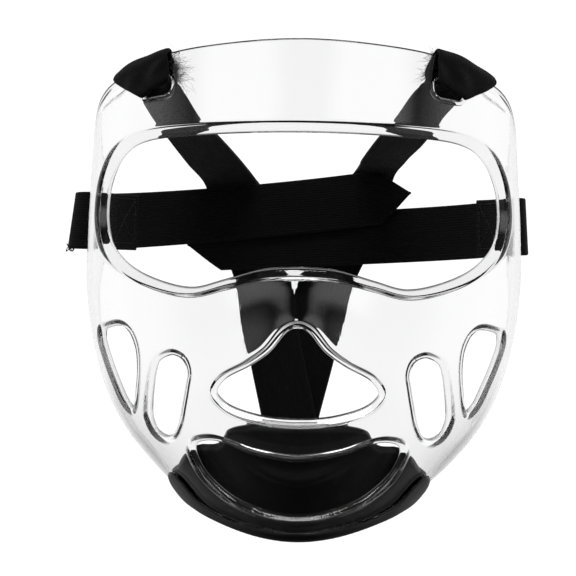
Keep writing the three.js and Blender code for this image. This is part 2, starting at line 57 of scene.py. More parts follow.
# %% A long lens, level and almost square to the front
def aim_camera(place, yaw, roll, lens):
    forward = Vector((-math.sin(yaw), math.cos(yaw), 0))
    right, up = Vector((math.cos(yaw), math.sin(yaw), 0)), Vector((0, 0, 1))
    level_x = right * math.cos(roll) + up * math.sin(roll)
    level_y = up * math.cos(roll) - right * math.sin(roll)
    camera = bpy.data.objects.new("camera", bpy.data.cameras.new("camera"))
    axes = Matrix((level_x, level_y, -forward)).transposed().to_4x4()
    camera.matrix_world = Matrix.Translation(place) @ axes
    camera.data.lens, camera.data.sensor_width = lens, 36
    camera.data.clip_end = 50
    bpy.context.scene.collection.objects.link(camera)
    bpy.context.scene.camera = camera
    return camera


camera = aim_camera(Vector((0.0261, -1.0355, 0.0775)), math.radians(1.7), math.radians(0.7), 159.9)
print("camera at", [round(v, 3) for v in camera.location], "lens", round(camera.data.lens, 1), "mm")

# %% [markdown]
# ## The moulded form
# The real sheet is cut flat, heated and drawn over a mould. The same order works here: outlines
# are drawn on a flat pattern, and one function carries any flat point into space. A flat point
# is (turn round the face, height), with the turn spread out to millimetres. Half an ellipse
# gives each level section in front of the ears, straight lines go on behind it, and the nose
# stands out as a soft hump.

# %% Sections, nose and wall
MM = 0.001
WALL, GAP, PAD_THICKNESS, SEAT_HEIGHT = 2.6, 0.4, 8.0, -79.0
SPREAD = 84.0  # millimetres of flat pattern for each radian of turn

# height, half width, depth
SECTIONS = np.array([
    (-106, 44, 69), (-92, 51, 72.5), (-78, 61, 75), (-61, 75, 76.5), (-44, 84, 77), (-20, 90.5, 76.5),
    (0, 93, 75.5), (20, 93, 74), (50, 91.5, 71), (80, 89.5, 66), (104, 87, 60)], float)
# height, rise, spread
NOSE = np.array([
    (-60, 0, 32), (-50, 1.5, 32), (-38, 7, 28), (-26, 10, 24), (-14, 9, 20), (-4, 5.5, 17),
    (6, 2, 15), (14, 0, 15)], float)


def smooth_rows(rows, at):
    """A smooth curve through a table: the first column is where, the rest are values."""
    where, values = rows[:, 0], rows[:, 1:]
    chord = np.diff(values, axis=0) / np.diff(where)[:, None]
    slope = np.vstack([chord[:1], (chord[1:] + chord[:-1]) / 2, chord[-1:]])
    at = np.clip(at, where[0], where[-1])
    row = np.clip(np.searchsorted(where, at) - 1, 0, len(where) - 2)
    step = (where[row + 1] - where[row])[:, None]
    t = (at - where[row])[:, None] / step
    return ((2 * t**3 - 3 * t**2 + 1) * values[row] + (t**3 - 2 * t**2 + t) * step * slope[row]
            + (3 * t**2 - 2 * t**3) * values[row + 1] + (t**3 - t**2) * step * slope[row + 1])


def face_form(flat):
    """Places on the form's outer face for points of the flat pattern."""
    half_width, depth = smooth_rows(SECTIONS, flat[:, 1]).T
    turn = np.abs(flat[:, 0]) / SPREAD
    rounded = np.minimum(turn, math.pi / 2)
    x = np.sign(flat[:, 0]) * half_width * np.sin(rounded)
    y = depth * (turn - rounded - np.cos(rounded))
    rise, spread = smooth_rows(NOSE, flat[:, 1]).T
    return np.stack([x, y - np.maximum(rise, 0) * np.exp(-(x / spread) ** 2), flat[:, 1]], axis=1)


def face_normal(flat):
    across = face_form(flat + (0.5, 0)) - face_form(flat - (0.5, 0))
    upward = face_form(flat + (0, 0.5)) - face_form(flat - (0, 0.5))
    normal = np.cross(across, upward)
    return normal / np.linalg.norm(normal, axis=1)[:, None]


def formed(flat, inward):
    """The same places, moved inwards from the face."""
    return face_form(flat) - face_normal(flat) * np.asarray(inward)[:, None]


def flat_rows(rows):
    """Rows of turn in degrees and height, as points of the flat pattern."""
    rows = np.array(rows, float)
    return np.stack([np.radians(rows[:, 0]) * SPREAD, rows[:, 1]], axis=1)


seat = formed(np.array([(0, SEAT_HEIGHT)]), [WALL + GAP + PAD_THICKNESS])[0]
print("the chin seat is the part's origin; in the form's own frame it is", seat.round(2), "mm")

# %% [markdown]
# ## Outlines
# The edge of the sheet and each opening is a closed smooth curve through a few points. Curves of
# this kind can also be drawn by hand with Bezier handles; here a Catmull-Rom curve is used,
# because it passes through the very points in the table. An opening's curve is the line where
# its lip starts to bend inwards, and the cut edge lies a short run inside it.

# %% Smooth curves, resampling and distance
def catmull_rom(points, per_span, closed):
    points = np.array(points, float)
    if closed:
        padded = np.vstack([points[-1:], points, points[:2]])
    else:
        padded = np.vstack([2 * points[0] - points[1], points, 2 * points[-1] - points[-2]])
    made = []
    for before, start, end, after in zip(padded, padded[1:], padded[2:], padded[3:]):
        gaps = [max(np.linalg.norm(b - a) ** 0.5, 1e-3)
                for a, b in ((before, start), (start, end), (end, after))]
        lead = ((start - before) / gaps[0] - (end - before) / (gaps[0] + gaps[1])
                + (end - start) / gaps[1]) * gaps[1]
        trail = ((end - start) / gaps[1] - (after - start) / (gaps[1] + gaps[2])
                 + (after - end) / gaps[2]) * gaps[1]
        t = np.arange(per_span)[:, None] / per_span
        made.append((2 * t**3 - 3 * t**2 + 1) * start + (t**3 - 2 * t**2 + t) * lead
                    + (3 * t**2 - 2 * t**3) * end + (t**3 - t**2) * trail)
    return np.vstack(made if closed else made + [points[-1:]])


def resampled(loop, spacing):
    """The closed loop again, with points about that far apart."""
    closed = np.vstack([loop, loop[:1]])
    run = np.concatenate([[0], np.cumsum(np.linalg.norm(np.diff(closed, axis=0), axis=1))])
    stops = np.linspace(0, run[-1], max(8, round(run[-1] / spacing)) + 1)[:-1]
    return np.stack([np.interp(stops, run, closed[:, 0]), np.interp(stops, run, closed[:, 1])], axis=1)


def loop_distance(points, loop, reach=16.0):
    """Distance to a closed loop, negative inside it. Points beyond reach all get reach."""
    near = np.all((points > loop.min(0) - reach) & (points < loop.max(0) + reach), axis=1)
    x, y = points[near, 0], points[near, 1]
    nearest = np.full(len(x), reach**2)
    inside = np.zeros(len(x), bool)
    for (ax, ay), (bx, by) in zip(loop, np.roll(loop, -1, axis=0)):
        dx, dy = bx - ax, by - ay
        share = np.clip(((x - ax) * dx + (y - ay) * dy) / (dx * dx + dy * dy + 1e-12), 0, 1)
        nearest = np.minimum(nearest, (x - ax - share * dx) ** 2 + (y - ay - share * dy) ** 2)
        crosses = (ay > y) != (by > y)
        inside ^= crosses & (x < ax + (y - ay) * dx / (dy if abs(dy) > 1e-12 else 1e-12))
    result = np.full(len(points), reach)
    result[near] = np.where(inside, -1, 1) * np.sqrt(nearest)
    return result


def mirrored_loop(rows):
    """A smooth closed curve from its right half."""
    half = flat_rows(rows)
    return catmull_rom(np.vstack([half, half[-2:0:-1] * (-1, 1)]), 10, True)


def slot_loop(start, end, radius):
    start, end = flat_rows([start, end])
    heading = math.atan2(*(end - start)[::-1])
    arc = np.linspace(-math.pi / 2, math.pi / 2, 15)
    ends = [(end, heading), (start, heading + math.pi)]
    return np.vstack([centre + radius * np.stack([np.cos(turn + arc), np.sin(turn + arc)], axis=1)
                      for centre, turn in ends])


# %% The sheet's edge and its openings
SHEET_OUTLINE = mirrored_loop([
    (0, 101.9), (20, 100.2), (40, 96.2), (48, 92.5), (55, 89.9), (62, 86.6), (69, 83.5), (77, 78.2),
    (84, 70.2), (90, 62.3), (100, 54), (110, 48), (114, 40), (114, 16), (110, 7), (100, -2), (94, -18),
    (92, -40), (88, -60), (80, -72.5), (68, -80), (55, -87), (41, -93), (20, -97.8), (0, -99.3)])
EYE = mirrored_loop([
    (0, 67.3), (28, 66.2), (48, 63.9), (57, 60), (64.5, 52.5), (70, 41), (70.5, 29), (66, 17.5),
    (57, 8.5), (44, 0.8), (29, -3.3), (19, 0), (9.5, 3.5), (0, 4.2)])
NOSE_VENT = mirrored_loop([
    (0, -13.8), (3.5, -15.5), (9, -25), (14, -30.3), (22, -36.5), (25, -42.5), (22, -49),
    (12.5, -54.3), (0, -56)])
MOUTH = mirrored_loop([
    (0, -68.4), (15, -66), (29, -61.2), (38.5, -65), (40.5, -76), (33, -85.5), (18, -91), (0, -93)])
LEAF = catmull_rom(flat_rows([
    (55, -15.8), (64, -16.3), (69.5, -18.3), (71.7, -23), (69.8, -31), (67.3, -40), (65.5, -49),
    (61.8, -52.2), (57.4, -49), (52.5, -40), (50.2, -32), (49.8, -24.5), (51.4, -19)]), 10, True)
CHEEK = catmull_rom(flat_rows([
    (35.7, -27.2), (32.5, -29.5), (31.5, -34.5), (32.7, -40), (35.3, -48), (39, -56), (44, -61.5),
    (49.7, -62.8), (53.2, -60.2), (53, -55), (50, -48.5), (47, -41.7), (44.5, -35), (42.2, -30.2),
    (39, -27.9)]), 10, True)
CORNER = slot_loop((46.3, 82.3), (40.4, 83.2), 4.8)
REAR_TURN = 105
REAR = slot_loop((REAR_TURN, 16), (REAR_TURN, 41), 3)
BRIDGE_SPREAD = 18.0


def opening(loop, run_top, run_bottom, lip, bridge=0):
    """Lip is how deep the edge turns inwards over its run; a bridge widens the run over the nose."""
    return {"loop": loop, "runs": (run_top, run_bottom), "lip": lip, "bridge": bridge}


def on_both_sides(loop, run, lip):
    return [opening(loop, run, run, lip), opening(loop * (-1, 1), run, run, lip)]


OPENINGS = [opening(EYE, 4, 4, 4.5, 4.5), opening(NOSE_VENT, 1.8, 4.2, 3.5), opening(MOUTH, 2, 1.5, 3.5),
            *on_both_sides(CHEEK, 1.3, 3.2), *on_both_sides(LEAF, 1.8, 3),
            *on_both_sides(CORNER, 1.2, 2), *on_both_sides(REAR, 0, 0)]


def lip_run(hole, points):
    """How far the cut edge lies inside the line where the lip starts to bend."""
    top, bottom = hole["loop"][:, 1].max(), hole["loop"][:, 1].min()
    share = np.clip((top - points[:, 1]) / (top - bottom), 0, 1) ** 4
    over_nose = hole["bridge"] * np.exp(-(points[:, 0] / BRIDGE_SPREAD) ** 2)
    return hole["runs"][0] + (hole["runs"][1] - hole["runs"][0] + over_nose) * share


print("the sheet has", len(OPENINGS), "openings")

# %% [markdown]
# ## From outlines to a wall with thickness
# A boolean cut would leave long thin faces round each hole, and clear plastic shows every one
# of them as a flaw. So points are laid in rings at chosen distances from each cut edge, with a
# looser even field between, and Blender's Delaunay fill joins them into well-shaped triangles.
# The flat fill is then extruded once, which gives an outer and an inner skin with a rim, and
# each skin is carried to its own depth. Depth is measured square to the bent form, so the wall
# keeps its thickness round the bend of every lip. Near the edge both skins curve towards each
# other, so the rim is rounded the way a polished edge is.

# %% Fill a flat pattern and raise it into a solid
def ring(loop, distance, spacing):
    """Points at one distance outside a loop, without those that a tight corner throws astray."""
    points = resampled(loop, spacing)
    along = np.roll(points, -1, axis=0) - np.roll(points, 1, axis=0)
    outward = np.stack([along[:, 1], -along[:, 0]], axis=1)
    outward /= np.linalg.norm(outward, axis=1)[:, None]
    area = np.sum(points[:, 0] * np.roll(points[:, 1], -1) - points[:, 1] * np.roll(points[:, 0], -1))
    outward *= math.copysign(1, area)
    moved = points
    for _ in range(8):
        wanted = np.broadcast_to(distance(moved) if callable(distance) else distance, len(points))
        moved = points + outward * wanted[:, None]
    return moved[np.abs(loop_distance(moved, loop) - wanted) < 0.02]


def edge_distance(points, outline, holes):
    """How far a point lies inside the material from the nearest cut edge."""
    gaps = [-loop_distance(points, outline)]
    gaps += [loop_distance(points, hole["loop"]) + lip_run(hole, points) for hole in holes]
    return np.min(gaps, axis=0)


def flat_fill(outline, holes, rings, spacing, field):
    """Vertices and triangles of a flat pattern."""
    loops = [resampled(outline, spacing * 1.3)]
    loops += [ring(hole["loop"], lambda p, h=hole: -lip_run(h, p), spacing) for hole in holes]
    steps = [ring(outline, -step, spacing * 1.3) for step in rings]
    for hole in holes:
        steps += [ring(hole["loop"], lambda p, h=hole, s=step: s - lip_run(h, p), spacing)
                  for step in rings]
    low, high = outline.min(0), outline.max(0)
    grid = []
    for i, z in enumerate(np.arange(low[1], high[1], field * 0.866)):
        across = np.arange(low[0] + field / 2 * (i % 2), high[0], field)
        grid.append(np.stack([across, np.full(len(across), z)], axis=1))
    grid = np.vstack(grid)
    grid = grid[edge_distance(grid, outline, holes) > rings[-1] + field * 0.6]
    loose = np.vstack(steps)
    loose = loose[edge_distance(loose, outline, holes) > rings[0] * 0.8]
    points, edges = [], []
    for loop in loops:
        first = sum(map(len, points))
        edges += [(first + i, first + (i + 1) % len(loop)) for i in range(len(loop))]
        points.append(loop)
    points = np.vstack(points + [loose, grid])
    filled = geometry.delaunay_2d_cdt([Vector(p) for p in points.tolist()], edges, [], 0, 1e-3)
    vertices, faces = np.array([tuple(v) for v in filled[0]]), np.array(filled[2])
    middles = vertices[faces].mean(axis=1)
    return vertices, faces[edge_distance(middles, outline, holes) > 1e-3]


def raised_panel(name, fill, outer, inner):
    """Extrudes a flat fill once and carries the two skins to their places."""
    vertices, faces = fill
    bm = bmesh.new()
    made = [bm.verts.new((x, y, 0)) for x, y in vertices]
    for face in faces:
        bm.faces.new([made[i] for i in face])
    bmesh.ops.delete(bm, geom=[v for v in bm.verts if not v.link_faces], context="VERTS")
    lifted = bmesh.ops.extrude_face_region(bm, geom=bm.faces[:], use_keep_orig=True)["geom"]
    for vertex in (item for item in lifted if isinstance(item, bmesh.types.BMVert)):
        vertex.co.z = 1
    places = np.array([tuple(v.co) for v in bm.verts])
    top = places[:, 2] > 0.5
    places[top], places[~top] = inner(places[top, :2]), outer(places[~top, :2])
    for vertex, place in zip(bm.verts, (places - seat) * MM):
        vertex.co = place
    bmesh.ops.recalc_face_normals(bm, faces=bm.faces[:])
    return to_object(name, bm)


def to_object(name, bm):
    mesh = bpy.data.meshes.new(name)
    bm.to_mesh(mesh)
    bm.free()
    mesh.shade_smooth()
    piece = bpy.data.objects.new(name, mesh)
    bpy.context.scene.collection.objects.link(piece)
    print(name, "has", len(mesh.vertices), "vertices and", len(mesh.polygons), "faces")
    return piece


# %% The clear sheet
EDGE_ROUND, BEND = 0.8, 3.2
SHEET_RINGS = [0.1, 0.3, 0.6, 1, 1.5, 2, 2.5, 3, 3.5, 4, 4.5, 5, 5.6, 6.4, 8]
# a groove beside each upper corner: where on the pattern, how far it reaches, depth, inset, half width
GROOVE_PLACE, GROOVE_REACH = (97, 84), (14, 8)
GROOVE_DEPTH, GROOVE_INSET, GROOVE_HALF = 1.2, 5, 2


def rounding(edge, radius):
    """How far a round of that radius stands back at a distance from the edge."""
    return radius - np.sqrt(radius**2 - (radius - np.clip(edge, 0, radius)) ** 2)


def corner_groove(points):
    """A short groove along the edge at each upper corner, where the sheet was drawn hardest."""
    aside = (np.abs(points[:, 0]) - GROOVE_PLACE[0]) / GROOVE_REACH[0]
    above = (points[:, 1] - GROOVE_PLACE[1]) / GROOVE_REACH[1]
    inset = (-loop_distance(points, SHEET_OUTLINE) - GROOVE_INSET) / GROOVE_HALF
    return GROOVE_DEPTH * np.exp(-aside**4 - above**4) * np.exp(-inset**2)


def lip_depth(points):
    """How far the sheet's outer skin has turned inwards: flat, a round bend, then straight."""
    deepest = np.zeros(len(points))
    for hole in OPENINGS:
        run = lip_run(hole, points)
        if run.max() == 0:
            continue
        from_bend = loop_distance(points, hole["loop"])
        angle = np.arctan2(hole["lip"], run)
        start = BEND * np.tan(angle / 2)
        arc = np.clip(start - from_bend, 0, BEND * np.sin(angle))
        bent = BEND - np.sqrt(BEND**2 - arc**2)
        straight = -from_bend * np.tan(angle)
        deepest = np.maximum(deepest, np.where(from_bend < -start * np.cos(angle), straight, bent))
    return deepest + corner_groove(points)


def sheet_skin(points, share):
    """Places on the sheet, from its outer skin at 0 to its inner skin at 1, along its true normal."""
    step = 0.04
    skin = formed(points, lip_depth(points))
    across = formed(points + (step, 0), lip_depth(points + (step, 0))) - skin
    upward = formed(points + (0, step), lip_depth(points + (0, step))) - skin
    normal = np.cross(across, upward)
    normal /= np.linalg.norm(normal, axis=1)[:, None]
    worn = rounding(edge_distance(points, SHEET_OUTLINE, OPENINGS), EDGE_ROUND)
    depth = worn + (WALL - 2 * worn) * share
    return skin - normal * depth[:, None]


sheet_fill = flat_fill(SHEET_OUTLINE, OPENINGS, SHEET_RINGS, spacing=1.4, field=2.8)
shield = raised_panel("clear_shield", sheet_fill, lambda p: sheet_skin(p, 0), lambda p: sheet_skin(p, 1))

# %% [markdown]
# ## The chin pad
# The pad is moulded foam with a closed skin. A band of it wraps the sheet's lower edge, so the
# shape is a body, plus a rim, less the room that the sheet needs. Booleans join those three
# rough bodies, and a voxel remesh then melts every hard corner into the round that foam has.
# Behind the mouth the foam swells forward in one shallow roll that ends in a crease.

# %% Pad outlines and its three rough bodies
RIM_PROUD, MOUTH_STEP, MOUTH_SWELL = 1.4, 6.0, 3.5
# the roll behind the mouth rises slowly above its crease and ends quickly just under it
CREASE_HEIGHT, CREASE_BOW, CREASE_DEPTH, CREASE_REACH = -80.5, 0.0075, 1.1, 30
ROLL_START, ROLL_PEAK, ROLL_END = -7, -0.8, 1
PAD_OUTLINE = mirrored_loop([
    (0, -56.2), (17, -56.3), (24, -58.8), (28, -63.2), (32, -66), (37, -67.2), (42, -68), (47, -70.3),
    (53, -73.6), (59, -76.8), (62, -79.6), (60, -83.6), (55, -87), (41, -92.5), (20, -97.5), (0, -99)])
RIM_OUTLINE = mirrored_loop([
    (0, -97.8), (20, -96.2), (41, -91.2), (49, -86.5), (52.5, -80), (56, -76.3), (61, -76.8),
    (65.5, -80.3), (66.5, -83.5), (64, -88.5), (54, -92.8), (43, -95.8), (19, -100.9), (0, -102.4)])
PAD_BACK = WALL + GAP + PAD_THICKNESS


def smoothstep(value, low, high):
    t = np.clip((value - low) / (high - low), 0, 1)
    return t * t * (3 - 2 * t)


def pad_outer(points):
    near_mouth = 1 - smoothstep(loop_distance(points, MOUTH), 0, MOUTH_STEP)
    edge = edge_distance(points, PAD_OUTLINE, [])
    below = CREASE_HEIGHT + CREASE_BOW * points[:, 0] ** 2 - points[:, 1]
    fade = np.exp(-(points[:, 0] / CREASE_REACH) ** 4)
    roll = fade * smoothstep(below, ROLL_START, ROLL_PEAK) * (1 - smoothstep(below, ROLL_PEAK, ROLL_END))
    forward = near_mouth * (MOUTH_SWELL + GAP) - CREASE_DEPTH * near_mouth * roll
    return WALL + GAP + forward + rounding(edge, 2.5)


def pad_inner(points):
    return PAD_BACK - rounding(edge_distance(points, PAD_OUTLINE, []), 3)


def rim_outer(points):
    return -RIM_PROUD + rounding(edge_distance(points, RIM_OUTLINE, []), 1.6)


def rim_inner(points):
    return PAD_BACK - rounding(edge_distance(points, RIM_OUTLINE, []), 2.5)


def soft_body(name, outline, rings, field, outer, inner):
    """A panel between two depths below the sheet's face."""
    return raised_panel(name, flat_fill(outline, [], rings, 1.6, field),
                        lambda p: formed(p, outer(p)), lambda p: formed(p, inner(p)))


pad_body = soft_body("pad_body", PAD_OUTLINE, [0.15, 0.5, 1, 1.7, 2.5], 1.8, pad_outer, pad_inner)
pad_rim = soft_body("pad_rim", RIM_OUTLINE, [0.15, 0.5, 1, 1.6], 1.5, rim_outer, rim_inner)
room_outline = ring(SHEET_OUTLINE, GAP, 1.6)
room_outline = room_outline[room_outline[:, 1] < -48]
sheet_room = soft_body("sheet_room", room_outline, [1.5], 2.6, lambda p: np.full(len(p), -GAP),
                       lambda p: np.full(len(p), WALL + GAP))


# %% Join, cut and melt them together
def modified(piece, *modifiers):
    """Adds modifiers by kind and settings, then keeps their result as the piece's own mesh."""
    for kind, settings in modifiers:
        modifier = piece.modifiers.new(kind, kind)
        for setting, value in settings.items():
            setattr(modifier, setting, value)
    graph = bpy.context.evaluated_depsgraph_get()
    mesh = bpy.data.meshes.new_from_object(piece.evaluated_get(graph))
    piece.modifiers.clear()
    old, piece.data = piece.data, mesh
    mesh.name = piece.name
    bpy.data.meshes.remove(old)
    mesh.shade_smooth()
    return piece


chin_pad = modified(pad_rim, ("BOOLEAN", {"operation": "UNION", "object": pad_body}),
                    ("BOOLEAN", {"operation": "DIFFERENCE", "object": sheet_room}),
                    ("REMESH", {"mode": "VOXEL", "voxel_size": 0.6 * MM}),
                    ("SMOOTH", {"factor": 0.5, "iterations": 3}))
chin_pad.name = chin_pad.data.name = "foam_chin_pad"
for body in (pad_body, sheet_room):
    bpy.data.objects.remove(body)
print(chin_pad.name, "has", len(chin_pad.data.polygons), "faces")

# %% [markdown]
# ## The straps
# Each strap is one length of hook-and-loop webbing. It's threaded through a slot, folded round
# the bar and sewn to itself, and the rest goes behind the head. A strap can bend and twist but
# hardly stretch, so it is modelled flat, as a grid with a known length and width, and then laid
# over rows of points, one row for each station of its route. Where a top strap is squeezed into
# a slot narrower than itself, its rows are shortened and the spare width gathers into ripples.

# %% Lay a flat band over rows of points
STRAP_WIDTH, STRAP_THICKNESS, STRAP_ROUND, TIP_BLUNT = 25.0, 1.8, 0.75, 0.03
HALF_WIDTH = STRAP_WIDTH / 2
EDGE_STEPS = np.concatenate([[0, 0.12, 0.35, 0.7, 1.2], np.linspace(2, HALF_WIDTH, 10)])
HALF_COLUMNS = 1 - EDGE_STEPS / HALF_WIDTH
COLUMNS = np.concatenate([-HALF_COLUMNS, HALF_COLUMNS[-2::-1]])


def straight_row(middle, across):
    """One row over the strap's width, along a direction whose length scales the width."""
    return middle + COLUMNS[:, None] * np.asarray(across) * HALF_WIDTH


def squared(middles, across):
    """Turns each width direction square to the route and makes it one long."""
    along = np.gradient(middles, axis=0)
    along /= np.linalg.norm(along, axis=1)[:, None]
    across = across - along * np.sum(across * along, axis=1)[:, None]
    return across / np.linalg.norm(across, axis=1)[:, None]


def band(name, rows, pointed, gathers=None, per_span=14):
    """A strap through rows of points, and a function that finds a place on its face."""
    grid = np.stack([catmull_rom(column, per_span, False) for column in np.swapaxes(rows, 0, 1)], axis=1)
    count, middle = len(grid), len(COLUMNS) // 2
    left = (count - 1 - np.arange(count)) / per_span
    narrow = np.clip(left, TIP_BLUNT, 1) if pointed else np.ones(count)
    spine = grid[:, middle].copy()
    grid = spine[:, None] + (grid - spine[:, None]) * narrow[:, None, None]
    along, across = np.gradient(grid, axis=0), np.gradient(grid, axis=1)
    normal = np.cross(along, across)
    normal /= np.linalg.norm(normal, axis=2)[:, :, None]
    if gathers is not None:
        stops = np.linspace(0, len(rows) - 1, count)
        height = np.interp(stops, range(len(rows)), gathers)
        sway = 0.3 * np.sin(2.3 * stops)[:, None]
        wave = np.sin(math.pi * (1.7 * COLUMNS + sway) + 0.9 * stops[:, None])
        grid = grid + normal * (height[:, None] * wave)[:, :, None]
    run = np.concatenate([[0], np.cumsum(np.linalg.norm(np.diff(spine, axis=0), axis=1))])
    bm = bmesh.new()
    bmesh.ops.create_grid(bm, x_segments=count - 1, y_segments=len(COLUMNS) - 1, size=0.5)

    def row_column(vertex):
        return round((vertex.co.x + 0.5) * (count - 1)), round((vertex.co.y + 0.5) * (len(COLUMNS) - 1))

    order = {vertex: row_column(vertex) for vertex in bm.verts}
    uv = bm.loops.layers.uv.new("strap_millimetres")
    for loop in (loop for face in bm.faces for loop in face.loops):
        r, c = order[loop.vert]
        loop[uv].uv = (run[r], COLUMNS[c] * narrow[r] * HALF_WIDTH)
    lifted = bmesh.ops.extrude_face_region(bm, geom=bm.faces[:], use_keep_orig=True)["geom"]
    top = {item for item in lifted if isinstance(item, bmesh.types.BMVert)}
    order.update((vertex, row_column(vertex)) for vertex in top)
    for vertex, (r, c) in order.items():
        edge = min((1 - abs(COLUMNS[c])) * narrow[r] * HALF_WIDTH, run[r], run[-1] - run[r])
        thick = (STRAP_THICKNESS / 2 - rounding(edge, STRAP_ROUND)) * (1 if vertex in top else -1)
        vertex.co = (grid[r, c] + normal[r, c] * thick - seat) * MM
    bmesh.ops.recalc_face_normals(bm, faces=bm.faces[:])
    if bm.calc_volume(signed=True) < 0:  # a band folded on itself can come out inside out
        bmesh.ops.reverse_faces(bm, faces=bm.faces[:])
    print(name, "is", round(run[-1]), "mm long")

    def on_face(along_mm, across_mm, lift):
        r = int(np.searchsorted(run, along_mm))
        c = int(np.searchsorted(COLUMNS, across_mm / HALF_WIDTH))
        share = (along_mm - run[r - 1]) / (run[r] - run[r - 1])
        place = grid[r - 1, c] * (1 - share) + grid[r, c] * share
        return (place + normal[r, c] * lift - seat) * MM

    return to_object(name, bm), on_face


# %% Two side straps, each sewn round a rear bar and following the head
TIP_TURN, LAYER = 10.6, 2.3
HEAD_HALF_WIDTH, HEAD_DEPTH, HEAD_CENTRE = 91, 72, 20
# the loop round the bar, from the slot: out, back, share of the slack
SIDE_LOOP = [
    (-15.9, 35.3, 0), (-10.6, 26.6, 0), (-7.2, 18.5, 0), (-5.4, 11.1, 0), (-4.9, 5.5, 0), (-4.6, 2, 0),
    (-2.4, 0.1, 0), (0.2, -0.3, 0.1), (1.6, 1.3, 0.6), (2, 5.5, 1), (1.7, 11.1, 0.75), (0.3, 15, 0.25),
    (-2.3, 17.4, 0)]


def side_strap(name, side, slack, lean, layer, bar_height, tip_height, climb, tip_turn):
    low, slot, high = face_form(flat_rows([(REAR_TURN, bar_height + step) for step in (-10, 0, 10)]))
    wall = (high - low) / np.linalg.norm(high - low)
    plan = [(slot[0] + out + swell * slack, slot[1] + back) for out, back, swell in SIDE_LOOP]
    for turn in [*np.linspace(18, tip_turn - TIP_TURN, 7), tip_turn]:
        outside = layer * LAYER * min(1, turn / 60)
        plan.append(((HEAD_HALF_WIDTH + outside) * math.cos(math.radians(turn)),
                     HEAD_CENTRE + (HEAD_DEPTH + outside) * math.sin(math.radians(turn))))
    steps = [0 if i < len(SIDE_LOOP) else math.dist(plan[i], plan[i - 1]) for i in range(len(plan))]
    share = np.cumsum(steps) / sum(steps)
    middles, across = [], []
    for i, (x, y) in enumerate(plan):
        tilt = wall[0] - lean * SIDE_LOOP[i][2] if i < len(SIDE_LOOP) else 0
        middles.append((side * x, y, bar_height + (tip_height - bar_height) * share[i] ** climb))
        across.append((side * tilt, 0, 1))
    middles = np.array(middles)
    rows = np.array([straight_row(*pair) for pair in zip(middles, squared(middles, np.array(across)))])
    return band(name, rows, True)


left_side, left_side_face = side_strap(
    "left_side_webbing", side=-1, slack=7.4, lean=0.09, layer=0,
    bar_height=28.7, tip_height=44.6, climb=1.4, tip_turn=121.3)
right_side, right_side_face = side_strap(
    "right_side_webbing", side=1, slack=1.6, lean=0.02, layer=1,
    bar_height=28.1, tip_height=19.4, climb=1.1, tip_turn=126.6)

# %% Two top straps, each gathered through a corner slot and folded over the sheet's top edge
# outer edge and inner edge, each as turn, height, depth below the sheet's face, then the middle's rise
CORNER_FOLD = [
    ((48, 81.3, 1.3), (38.3, 84.3, 1.3), 0), ((47.6, 78.2, -1.7), (37.8, 85.3, -1.5), 0),
    ((52, 80.2, -2.1), (37.9, 89.5, -2), 0), ((57.3, 82.8, -2), (38.3, 93.6, -2), 0.4),
    ((61.5, 85.8, -1.9), (38.8, 95.5, -1.8), 0.5), ((62.8, 88.8, 1.3), (39.2, 97.7, 1.3), 0.9),
    ((61.5, 85.9, 4.2), (39, 95, 4.2), 0.4), ((56, 82.5, 6.5), (38.3, 90.5, 6.5), 0)]
FREE_END = np.array((-1.1, -0.84, -1.6))
# the height of the ripples in each row, from the free end through the fold to the first rows behind
GATHERS = [0.1, 0.2, 0.4, 0.7, 0.6, 0.6, 0.5, 0.35, 0.2, 0.4, 0.4, 0.4, 0.2, 0]
# outer edge and inner edge behind the sheet, as x, y, z
LEFT_EDGES = np.array([
    ((65.9, -37, 76.3), (51.8, -43, 84.7)), ((63.9, -26, 72.1), (48.1, -36, 78.6)),
    ((61.7, -10, 68.1), (43.2, -20, 70.2)), ((59.5, 25, 63.6), (37.4, 15, 65.1)),
    ((54.6, 62, 56.1), (30, 52, 57)), ((48.3, 92, 47.4), (24.4, 88, 49.8))])
RIGHT_EDGES = np.array([
    ((62.5, -37, 77.2), (49.8, -43, 86)), ((59.2, -26, 73.7), (45.4, -36, 81.4)),
    ((56.3, -10, 69.6), (38.7, -20, 72.3)), ((51.2, 25, 64), (31, 15, 65.1)),
    ((44.6, 62, 58.6), (24.5, 52, 58)), ((38.9, 92.4, 50.2), (21.6, 92.8, 55.2))])
# the middle behind the head as x, y, z, and the width's yaw and pitch
LEFT_ROUTE = [
    (34.6, 97, 43.5, -7, -9), (30.6, 98.9, 31, -7, -14), (25, 99.6, 14, -5, -14),
    (20.2, 99.5, -1, -2, -13), (15.6, 98, -27, 0, -10), (8.9, 96, -57.5, 0, -11),
    (5.6, 95, -73, 0, -11)]
RIGHT_ROUTE = [
    (26.2, 100, 41.5, -8, -18), (21.4, 101.4, 31, -6, -22), (12.9, 102.4, 14, -3, -21),
    (6.6, 102.2, -1, 0, -17), (1.2, 100.8, -27, 0, -13), (-6.4, 98.8, -57.5, 0, -14),
    (-10.2, 97.8, -73, 0, -14)]


def fold_row(outer, inner, rise):
    """A row that follows the sheet: the inner edge is the first column."""
    share = (COLUMNS[:, None] + 1) / 2
    turn, height, depth = (np.array(inner) * (1 - share) + np.array(outer) * share).T
    flat = flat_rows(np.stack([turn, height + rise * (1 - COLUMNS**2)], axis=1))
    return formed(flat, depth)


